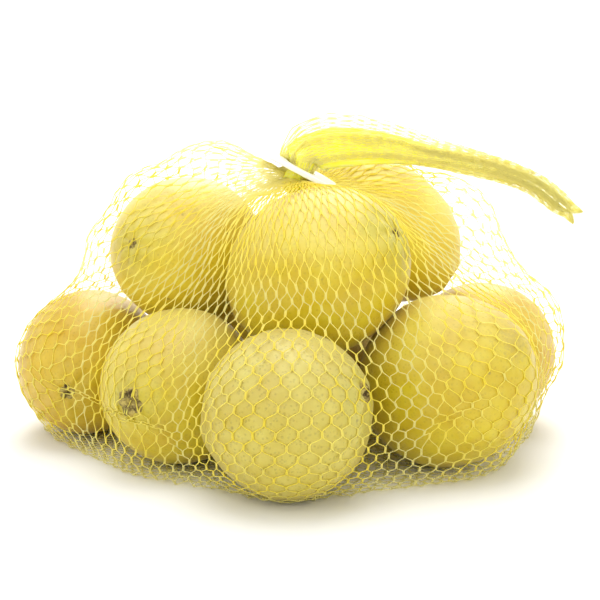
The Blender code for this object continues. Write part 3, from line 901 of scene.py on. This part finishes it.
@dataclass
class NetBag:
    """The net round the lemons, from the closure plate down to its seam under the fruit."""
    mesh: Mesh
    rinds: list[BVHTree]                      # of the lemons' finished surfaces, in LEMONS' order
    folds: tuple[Ball, ...] = (Ball(-14.5, 12.0, 105.5, 5.2), Ball(-33.5, 22.0, 95.0, 20.5),
                               Ball(-53.0, 22.0, 87.0, 18.5), Ball(-62.5, 22.0, 69.0, 21.0),
                               Ball(53.0, 33.0, 76.5, 25.0), Ball(75.0, 36.0, 34.0, 30.5))
    tucks: tuple[Tuck, ...] = (
        Tuck(((-104.0, 6.0, 32.0), (-88.0, -5.0, 26.0), (-73.0, -20.0, 23.0), (-64.0, -38.0, 25.0),
              (-53.0, -45.0, 22.0), (-42.0, -45.0, 17.0), (-29.0, -42.0, 11.0))),
        Tuck(((66.0, -50.0, 34.0), (48.0, -52.0, 25.0), (38.0, -48.0, 20.0), (27.0, -50.0, 14.0)),
             reach=9.0, closeness=1.1))
    neck_tuck: Tuck = Tuck(((6.0, 6.0, 101.0), (-6.0, 7.0, 107.0), (-15.0, 9.0, 110.5),
                            (-24.0, 12.0, 113.5), (-36.0, 15.0, 114.5)), reach=8.0, closeness=0.8)
    neck_radius: float = 5.2
    nadir: Vector = Vector((-3.0, 56.0, 0.0))  # the columns of meshes turn about neck and nadir
    seam: Vector = Vector((-6.0, 16.0, 0.4))  # middle of the welded seam on the floor
    seam_half_length: float = 13.0
    denser_in_front: float = 0.3              # the fan of columns is uneven, as it starts far back
    first_polar: float = radians(15.0)
    polar_step: float = radians(1.6)
    under_steps: int = 20
    rows: int = 58
    spreads: int = 36                         # rounds of evening out on the solid
    settles: int = 10                         # and on the fruit
    waver: tuple[float, float] = (1.3, 24.0)  # of the loosened net: its size and its wavelength
    unevenness: float = 0.2
    clearance: float = 0.24                   # from a fruit or the floor to a filament's middle
    free_between: tuple[float, float] = (3.0, 10.0)    # from a fruit, where the net goes pale with painted light
    floor_layer: float = 9.0                  # how high the layer on the floor counts as free, and so is painted pale

    def columns(self) -> tuple[np.ndarray, ...]:
        """The middle that columns are seen from, and directions up to the neck, across and beside."""
        along, wide = along_and_wide()
        neck = NECK - along * 3.0
        up = (neck - self.nadir).normalized()
        side = up.cross(wide).normalized()
        return (np.array((neck + self.nadir) / 2), np.array(up), np.array(side.cross(up)),
                np.array(side))

    def meridian(self, solid: BVHTree, column: int) -> np.ndarray:
        """Points from the neck down over the bag's solid and inwards under it to the seam.

        Args:
            solid: the bag's solid, in the row frame.
            column: which of the 2 x round_count half columns.

        Returns:
            The points, in mm in the bag's own frame.
        """
        middle, up, wide, side = self.columns()
        angle = tau * column / (2 * self.mesh.round_count)
        azimuth = angle + self.denser_in_front * cos(angle)
        out = wide * cos(azimuth) + side * sin(azimuth)
        line = [neck_ring(angle, rise, self.neck_radius) for rise in (0.0, -1.6, -3.0)]
        polar, height = self.first_polar, NECK.z
        while height > 0.7:
            direction = Vector(up * cos(polar) + out * sin(polar))
            hit = solid.ray_cast(placed(Vector(middle) + direction * 400.0), -direction)[0]
            point = (hit - SHIFT) / MM
            line.append(np.array(point))
            polar += self.polar_step
            height = point.z
        line[-1][2] = self.clearance
        # The seam is welded flat, so its two layers lie against each other.
        seam = np.array(self.seam) - (cos(angle) * self.seam_half_length, 0.7 * sin(angle), 0.0)
        edge = line[-1]
        line += [edge + (seam - edge) * k / self.under_steps for k in range(1, self.under_steps + 1)]
        return np.array(line)

    def lay_out(self, solid: BVHTree) -> Lattice:
        """Rows of links on the solid, spaced as far as meshes of that width reach.

        Args:
            solid: the bag's solid.

        Returns:
            The links.
        """
        lines, lengths = [], []
        for column in range(2 * self.mesh.round_count):
            line = self.meridian(solid, column)
            gaps = np.linalg.norm(np.diff(line, axis=0), axis=1)
            lines.append(line)
            lengths.append(np.concatenate([[0.0], np.cumsum(gaps)]))
        longest = max(length[-1] for length in lengths)

        def ring(distance: float) -> np.ndarray:
            """The net's points at a distance down from the neck, one for each half column."""
            points = []
            for line, length in zip(lines, lengths):
                edge = length[-1 - self.under_steps]
                at = distance
                # Under the bag the shorter lines are slack, so that all reach the seam together.
                if distance > edge:
                    at = edge + (distance - edge) * (length[-1] - edge) / (longest - edge)
                points.append([np.interp(at, length, line[:, axis]) for axis in range(3)])
            return np.array(points)

        distances = [0.0]
        for _ in range(self.rows - 1):
            here = ring(distances[-1])
            width = np.linalg.norm(np.roll(here, -1, axis=0) - here, axis=1).sum() / self.mesh.round_count
            slant = sqrt(max(self.mesh.strand ** 2 - (0.55 * width) ** 2, 4.0))
            distances.append(distances[-1] + self.mesh.link + slant)
        LOG.info("net reaches %.0f of %.0f mm", distances[-1], longest)
        stretch = longest / distances[-1]
        return Lattice(np.array([ring(distance * stretch)[row % 2::2]
                                 for row, distance in enumerate(distances)]))

    def clear_of_fruit(self, points: np.ndarray) -> np.ndarray:
        """Move points that are inside a lemon's oval or under the floor out of it.

        Args:
            points: any array of places, in mm in the bag's own frame.

        Returns:
            The places, moved.
        """
        points = points.copy()
        for lemon in LEMONS:
            depth, offset = lemon.depth_of(points, self.clearance)
            sunk = depth < 1.0
            points[sunk] = np.array(lemon.middle) + offset[sunk] / depth[sunk][..., None]
        points[..., 2] = np.maximum(points[..., 2], self.clearance)
        return points

    def clear_of_rinds(self, points: np.ndarray) -> np.ndarray:
        """Move points that are too near a lemon's finished surface off it, and up off the floor."""
        points = points.copy()
        for lemon, rind in zip(LEMONS, self.rinds):
            depth, _ = lemon.depth_of(points, 0.0)
            stem_end = np.array(lemon.middle - lemon.pointing * lemon.half_length)
            width, thickness = lemon.stem.value[:2]
            for spot in map(tuple, np.argwhere(depth < 1.08)):
                place, normal, _, _ = rind.find_nearest(placed(Vector(points[spot])))
                off = (placed(Vector(points[spot])) - place).dot(normal) / MM
                on_stem = np.linalg.norm(points[spot] - stem_end) < width / 2 + 0.5
                needed = self.clearance + (thickness if on_stem else 0.0)
                if off < needed:
                    points[spot] += np.array(normal) * (needed - off)
        points[..., 2] = np.maximum(points[..., 2], self.clearance)
        return points

    def hanging(self, points: np.ndarray) -> np.ndarray:
        """How free the net is: 0 near a lemon or in the neck's tuck, 1 well away from both.

        Args:
            points: any array of places, in mm in the bag's own frame.

        Returns:
            Values from 0 to 1; the layer on the pale floor counts as free.
        """
        gaps = [(lemon.depth_of(points, 0.0)[0] - 1.0) * lemon.radius for lemon in LEMONS]
        near, far = self.free_between
        bunched = smooth_step(1.0 - self.neck_tuck.nearest(points)[1] / near)
        hanging = smooth_step((np.min(gaps, axis=0) - near) / (far - near)) * (1.0 - bunched)
        # The layer on the floor counts as free, so it is painted pale over the shade under the bag.
        on_floor = smooth_step(1.0 - points[..., 2] / self.floor_layer)
        return np.maximum(hanging, on_floor)

    def clear_of_folds(self, points: np.ndarray) -> np.ndarray:
        """Move points out of the balls that the net stands out over."""
        points = points.copy()
        for ball in self.folds:
            offset = points - np.array((ball.x, ball.y, ball.height))
            distance = np.linalg.norm(offset, axis=-1)
            sunk = distance < ball.radius
            points[sunk] += offset[sunk] * ((ball.radius - distance[sunk]) / distance[sunk])[..., None]
        return points

    def relax(self, lattice: Lattice, solid: BVHTree) -> None:
        """Even the meshes out along the solid, then let them settle on what the net holds.

        Args:
            lattice: the laid out links, which are moved.
            solid: the bag's solid.
        """
        free = slice(3, -3)
        for _ in range(self.spreads):
            moved = lattice.evened(0.5)[free]
            for spot in np.ndindex(moved.shape[:2]):
                place = solid.find_nearest(placed(Vector(moved[spot])))[0]
                moved[spot] = (place - SHIFT) / MM
            moved[..., 2] = np.maximum(moved[..., 2], self.clearance)
            lattice.middles[free] = moved
        resting = lattice.middles[free][..., 2] < 1.0
        for _ in range(self.settles):
            moved = lattice.evened(0.35)[free]
            moved[resting] = lattice.middles[free][resting]
            lattice.middles[free] = self.clear_of_fruit(self.clear_of_folds(moved))

    def loosen(self, lattice: Lattice) -> None:
        """Give the net its tucks, its slow waver and the small unevenness of its links."""
        free = slice(5, -3)
        moved = lattice.middles[free]
        for tuck in (*self.tucks, self.neck_tuck):
            moved = tuck.draw_in(moved)
        size, wave = self.waver
        # mathutils seeds noise_vector from the clock, so the waver differs from run to run.
        waver = [size * noise.noise_vector(Vector(place) / wave) for place in moved.reshape(-1, 3)]
        moved = moved + np.array(waver).reshape(moved.shape)
        moved += np.random.default_rng(5).normal(0.0, self.unevenness, moved.shape)
        lattice.middles[free] = self.clear_of_fruit(moved)

    def build(self, material: Material) -> None:
        """Both stretches of net, and the welded seam that closes it under the fruit.

        Args:
            material: the net's material.
        """
        solid = surface_tree(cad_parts["net_bag"].data)
        lattice = self.lay_out(solid)
        self.relax(lattice, solid)
        self.loosen(lattice)
        paths, outward, radii = strands(lattice, self.mesh, np.ones(self.rows), 11)
        paths = self.clear_of_rinds(paths)
        free = self.hanging(paths)
        half = 4 * (self.rows // 2)
        for name, part in (("net_upper", slice(0, half + 1)), ("net_lower", slice(half, None))):
            piece = tube_mesh(name, paths[:, part], outward[:, part], radii[:, part], free[:, part],
                              self.mesh.sides)
            finish_piece(piece, material, ("net_bag",))
        self.build_seam(material)

    def build_seam(self, material: Material) -> None:
        """Flat welded strip, round-edged, where both layers of the net's end are joined."""
        shape = (self.seam_half_length + 1.0, 1.6, 0.35)
        square, rings, count = 0.4, 12, 16
        polars = [pi * k / rings for k in range(1, rings)]
        points = [(shape[0] * np.sign(cos(p)) * abs(cos(p)) ** square,
                   shape[1] * abs(sin(p)) ** square * cos(a), shape[2] * abs(sin(p)) ** square * sin(a))
                  for p in polars for a in (tau * k / count for k in range(count))]
        points = np.array(points) + np.array(self.seam) + (0.0, 0.0, shape[2] - 0.3)
        caps = [range(count), range(len(points) - 1, len(points) - count - 1, -1)]
        piece = mesh_object("welded_seam", points * MM + np.array(SHIFT),
                            ring_quads(rings - 1, count), caps)
        finish_piece(piece, material, ("net_bag",))


def along_and_wide(lean: float = NECK_LEAN) -> tuple[Vector, Vector]:
    """Direction of the neck or tail at a lean, and the direction of its width."""
    return Vector((cos(lean), 0.0, sin(lean))), Vector((-sin(lean), 0.0, cos(lean)))


def gathered(angle: float, tightness: float = 0.5) -> tuple[float, float]:
    """Where a filament lies in a gathered cross-section of unit half width and half thickness.

    Args:
        angle: its angle round the open net.
        tightness: share of the width that the pleats take up.

    Returns:
        Places across the width and through the thickness.
    """
    pleat = 2 * abs(((5 * angle / tau) % 1.0) * 2 - 1) - 1
    across = (1 - tightness) * cos(angle) + tightness * pleat
    through = 0.8 * sin(angle) + 0.1 * sin(5 * angle + 1.0)
    return across, through


def neck_ring(angle: float, rise: float, radius: float) -> np.ndarray:
    """Point of the gathered neck, rise mm past the closure plate's middle."""
    along, wide = along_and_wide()
    across, through = gathered(angle, 0.35)
    scale = 0.96 * radius * min(1.0, 1.0 / max(hypot(across, through), 1e-6))
    return np.array(NECK + along * rise + wide * (across * scale) + Vector((0.0, through * scale, 0.0)))


@dataclass
class NetTail:
    """The gathered spare net past the closure plate, down to its two points."""
    mesh: Mesh
    stations: tuple[tuple[float, ...], ...] = (
        (1.4, 12.0, 111.6, 20.0, 9.5), (8.5, 12.0, 116.2, 21.5, 9.0),
        (19.5, 12.2, 117.2, 20.0, 7.5), (34.0, 12.8, 115.8, 16.0, 6.2),
        (48.0, 13.4, 112.6, 12.2, 5.4), (63.0, 14.0, 108.8, 10.6, 4.8),
        (77.0, 14.6, 104.8, 9.4, 4.2), (88.5, 15.0, 100.2, 9.0, 3.6),
        (96.5, 15.4, 94.4, 9.2, 3.0))         # x, y, height, width and thickness, past the plate
    rows: int = 26
    notch: float = 1.5                        # from the last station to the notch
    tip: float = 9.6                          # the points past the notch
    tip_sharpness: float = 1.6
    tip_draw: float = 0.3
    opening: float = 14.0                     # past the plate, where the gather has opened out
    fine: float = 0.62                        # the spare net's filaments against the bag's
    core_below: tuple[tuple[float, float], ...] = (   # distance past the plate's middle, radius
        (-10.0, 1.2), (-8.5, 3.6), (-6.0, 4.5), (-3.0, 4.5), (0.0, 4.1))
    core_steps: int = 56
    core_end: float = 0.93                    # share of the tail that the inner layers reach
    core_share: float = 0.68                  # of the tail's width, from its lower edge
    pale_between: tuple[float, float] = (25.0, 95.0)   # where the strands go pale with painted light, along x
    least_pale: float = 0.9

    def line(self) -> tuple[np.ndarray, np.ndarray]:
        """The tail's middle line with its width and thickness, and the distance along it."""
        along, _ = along_and_wide()
        points = [(*NECK, 10.0, 10.0), (*(NECK + along * 2.2), 10.6, 9.6), *self.stations]
        points = np.array(points)
        fine = []
        for k in range(len(points) - 1):
            a, b = points[max(k - 1, 0)], points[k]
            c, d = points[k + 1], points[min(k + 2, len(points) - 1)]
            for t in np.arange(0, 1, 0.125):
                fine.append(0.5 * (2 * b + (c - a) * t + (2 * a - 5 * b + 4 * c - d) * t * t
                                   + (3 * b - a - 3 * c + d) * t ** 3))
        fine.append(points[-1])
        fine = np.array(fine)
        gaps = np.linalg.norm(np.diff(fine[:, :3], axis=0), axis=1)
        return fine, np.concatenate([[0.0], np.cumsum(gaps)])

    def section(self, at: float, fine: np.ndarray,
                length: np.ndarray) -> tuple[float, float, float, float, float, Vector, Vector]:
        """The tail's cross-section at a distance.

        Args:
            at: the distance along its middle line.
            fine: the middle line with its width and thickness.
            length: the distance along that line.

        Returns:
            x, y, height, width and thickness, and the directions along the tail and of its width.
        """
        sizes = [float(np.interp(at, length, fine[:, axis])) for axis in range(5)]
        ahead, behind = (
            [np.interp(np.clip(at + step, 0.0, length[-1]), length, fine[:, axis]) for axis in (0, 2)]
            for step in (1.0, -1.0))
        return *sizes, *along_and_wide(atan2(ahead[1] - behind[1], ahead[0] - behind[0]))

    def spot(self, angle: float, share: float, fine: np.ndarray, length: np.ndarray) -> np.ndarray:
        """Where a filament is at a share of its way down the tail.

        Args:
            angle: its angle round the open net.
            share: from 0 in the plate to 1 at the tail's end.
            fine: the tail's middle line with its width and thickness.
            length: the distance along that line.

        Returns:
            The place, in mm in the bag's own frame.
        """
        edge = abs(cos(angle)) ** self.tip_sharpness
        distance = share * (length[-1] + self.notch + self.tip * edge)
        at = min(distance, length[-1])
        x, y, z, width, thick, along, wide = self.section(at, fine, length)

        opened = float(smooth_step(distance / self.opening))
        across, through = gathered(angle, 0.35 + 0.05 * opened)
        shrink = (1 - opened) / max(hypot(across, through), 1.0) + opened
        across, through = across * shrink, through * shrink
        # Most of the net lies in the lower part of the width; the top is a thin, open lobe.
        upward = 0.5 + 0.5 * across
        skewed = 2 * (0.72 * upward + 0.28 * upward ** 5) - 1
        across += opened * float(smooth_step((80.0 - distance) / 30.0)) * (skewed - across)
        past = float(smooth_step((distance - length[-1]) / self.tip))
        across *= 1.0 - self.tip_draw * past
        # Like the net's waver, this differs from run to run.
        ripple = noise.noise_vector(Vector((distance / 16.0, 2.2 * angle, 4.0)))
        place = Vector((x, y, z)) + along * max(distance - length[-1], 0.0)
        place += wide * ((across * 0.96 + 0.04 * opened * ripple.x) * width / 2)
        place.y += (through * 0.9 + 0.1 * opened * ripple.y) * thick / 2
        return np.array(place)

    def build_core(self, material: Material) -> None:
        """The net's inner layers, pressed together from under the plate to near the tail's end.

        Args:
            material: the pressed layers' material.
        """
        fine, length = self.line()
        along, wide = along_and_wide()
        count, points = 72, []
        angles = [tau * k / count for k in range(count)]
        for distance, radius in self.core_below:
            for angle in angles:
                pleat = radius * (1.0 + 0.05 * sin(9 * angle))
                points.append(NECK + along * distance + wide * (cos(angle) * pleat)
                              + Vector((0.0, sin(angle) * pleat, 0.0)))
        for step in range(1, self.core_steps + 1):
            share = step / self.core_steps
            at = share * self.core_end * length[-1]
            x, y, z, width, thick, _, wide = self.section(at, fine, length)
            opened = float(smooth_step(at / self.opening))
            thin = sqrt(1.0 - share ** 4)
            reach = width / 2 * (0.8 + opened * (self.core_share - 0.8)) * thin
            deep = thick / 2 * (0.8 - 0.25 * opened) * thin
            middle = Vector((x, y, z)) + wide * (opened * (self.core_share - 1.0) * 0.9 * width / 2)
            for angle in angles:
                fold = noise.noise(Vector((at / 18.0, 2.6 * cos(angle), 2.6 * sin(angle))))
                pleat = 1.0 + opened * 0.16 * fold + 0.05 * sin(9 * angle + at / 30.0)
                points.append(middle + wide * (cos(angle) * reach * pleat)
                              + Vector((0.0, sin(angle) * deep * pleat, 0.0)))
        rings = len(points) // count
        caps = [range(count - 1, -1, -1), range((rings - 1) * count, rings * count)]
        piece = mesh_object("net_tail_inner_layers", np.array(points) * MM + np.array(SHIFT),
                            turned_over(ring_quads(rings, count)), caps)
        finish_piece(piece, material, ("net_tail",))

    def build(self, material: Material) -> None:
        """The tail's net as one mesh.

        Args:
            material: the net's material.
        """
        fine, length = self.line()
        count = 2 * self.mesh.round_count
        middles = np.array([[self.spot(tau * column / count, row / (self.rows - 1), fine, length)
                             for column in range(row % 2, count, 2)] for row in range(self.rows)])
        thickness = 1.0 + (self.fine - 1.0) * smooth_step((np.arange(self.rows) - 1) / 3)
        paths, outward, radii = strands(Lattice(middles), self.mesh, thickness, 23)
        # Painted light: the tail's strands are painted pale throughout, palest towards the end.
        start, end = self.pale_between
        free = np.maximum(smooth_step((paths[..., 0] - start) / (end - start)), self.least_pale)
        piece = tube_mesh("net_tail_strands", paths, outward, radii, free, self.mesh.sides)
        finish_piece(piece, material, ("net_tail",))


# ---- studio ----------------------------------------------------------------------------------
@dataclass
class Studio:
    """Pale floor with a round cove, soft lights, and the camera."""
    camera_distance: float = 650.0
    camera_rise: float = radians(12.0)
    aim: Vector = Vector((0.0, 0.0, 58.2))
    lens: float = 103.7
    floor_hex: str = "#fbfbfa"
    cove_radius: float = 1.5
    cove_height: float = 1.4
    room: float = 0.68                        # strength of the even light from all round
    lamps: tuple[tuple[Any, ...], ...] = (    # name, place, size and power
        ("key", (-0.45, -0.6, 1.05), 0.8, 1.7), ("fill", (0.4, -1.1, 0.25), 0.9, 1.0),
        ("above", (0.0, 0.15, 1.2), 1.0, 7.0), ("behind", (0.1, 1.0, 0.8), 0.9, 7.0))
    tail_lamp: Vector = Vector((0.06, -0.42, 0.40))
    tail_aim: Vector = Vector((0.045, 0.012, 0.116))
    tail_cone: float = radians(22.0)
    tail_power: float = 2.8

    def build(self) -> None:
        """Floor, lights and camera."""
        self.build_floor()
        self.build_lights()
        self.build_camera()
        settings = bpy.context.scene.view_settings
        settings.view_transform = "Standard"  # plain sRGB, so that yellows keep their strength

    def build_floor(self) -> None:
        """One turned sheet: a flat floor that curves up into a wall all round."""
        profile = [(0.001, 0.0), (0.6, 0.0), (self.cove_radius - 0.4, 0.0)]
        profile += [(self.cove_radius - 0.4 + 0.4 * sin(a), 0.4 - 0.4 * cos(a))
                    for a in (pi / 2 * k / 10 for k in range(1, 11))]
        profile.append((self.cove_radius, self.cove_height))
        count = 72
        points = [(r * cos(tau * k / count), r * sin(tau * k / count), z - 0.0002)
                  for r, z in profile for k in range(count)]
        floor = mesh_object("studio_floor", np.array(points), ring_quads(len(profile), count))
        material, tree = new_material("matt_paper_floor")
        put_out(tree, principled(tree, {"Base Color": linear(self.floor_hex), "Roughness": 0.9,
                                        "Specular IOR Level": 0.2}, {}))
        floor.data.materials.append(material)

    def add_lamp(self, kind: str, name: str, place: Vector, aim: Vector,
                 power: float) -> bpy.types.Light:
        """Put up one lamp.

        Args:
            kind: Blender's kind of light.
            name: the lamp's name.
            place: where it is, in metres.
            aim: what it points at.
            power: in watts.

        Returns:
            Its light.
        """
        light = bpy.data.lights.new(name, kind)
        light.energy = power
        lamp = bpy.data.objects.new(name, light)
        lamp.location = place
        lamp.rotation_euler = (aim - place).to_track_quat("-Z", "Y").to_euler()
        bpy.context.scene.collection.objects.link(lamp)
        return light

    def build_lights(self) -> None:
        """Large soft lamps all round, a small one on the neck and tail, and a bright even room."""
        middle = Vector((0.0, 0.0, 0.05))
        for name, place, size, power in self.lamps:
            light = self.add_lamp("AREA", name, Vector(place), middle, power)
            light.shape, light.size = "DISK", size
        light = self.add_lamp("SPOT", "on_the_tail", self.tail_lamp, self.tail_aim, self.tail_power)
        light.spot_size, light.spot_blend, light.shadow_soft_size = self.tail_cone, 1.0, 0.05
        world = bpy.data.worlds.new("soft_room")
        world.use_nodes = True
        background = world.node_tree.nodes["Background"].inputs
        background["Color"].default_value = (1.0, 1.0, 1.0, 1.0)
        background["Strength"].default_value = self.room
        bpy.context.scene.world = world

    def build_camera(self) -> None:
        """The camera, a little above the bag and looking at its middle."""
        camera = bpy.data.objects.new("camera", bpy.data.cameras.new("camera"))
        camera.data.lens = self.lens
        camera.data.clip_start = 0.05
        away = Vector((0.0, -cos(self.camera_rise), sin(self.camera_rise))) * self.camera_distance
        camera.location = placed(self.aim + away)
        camera.rotation_euler = (-away).to_track_quat("-Z", "Y").to_euler()
        bpy.context.scene.collection.objects.link(camera)
        bpy.context.scene.camera = camera


def main() -> None:
    logging.basicConfig(level=logging.INFO, format="%(message)s")
    for obj in [o for o in bpy.data.objects if o.type in {"LIGHT", "CAMERA"}]:
        bpy.data.objects.remove(obj)
    Studio().build()
    button = DryStemButton().material()
    rinds = []
    for lemon in LEMONS:
        rinds.append(surface_tree(lemon.build().data))
        lemon.build_stem(button)
    net = ExtrudedPolyethyleneNet().material()
    mesh = Mesh()
    NetBag(mesh, rinds).build(net)
    tail = NetTail(mesh)
    tail.build(net)
    tail.build_core(PressedNetLayers().material())
    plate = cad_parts["closure_plate"]
    plate.data.materials.clear()
    plate.data.materials.append(MouldedPolystyrene().material())


if __name__ == "__main__":
    main()
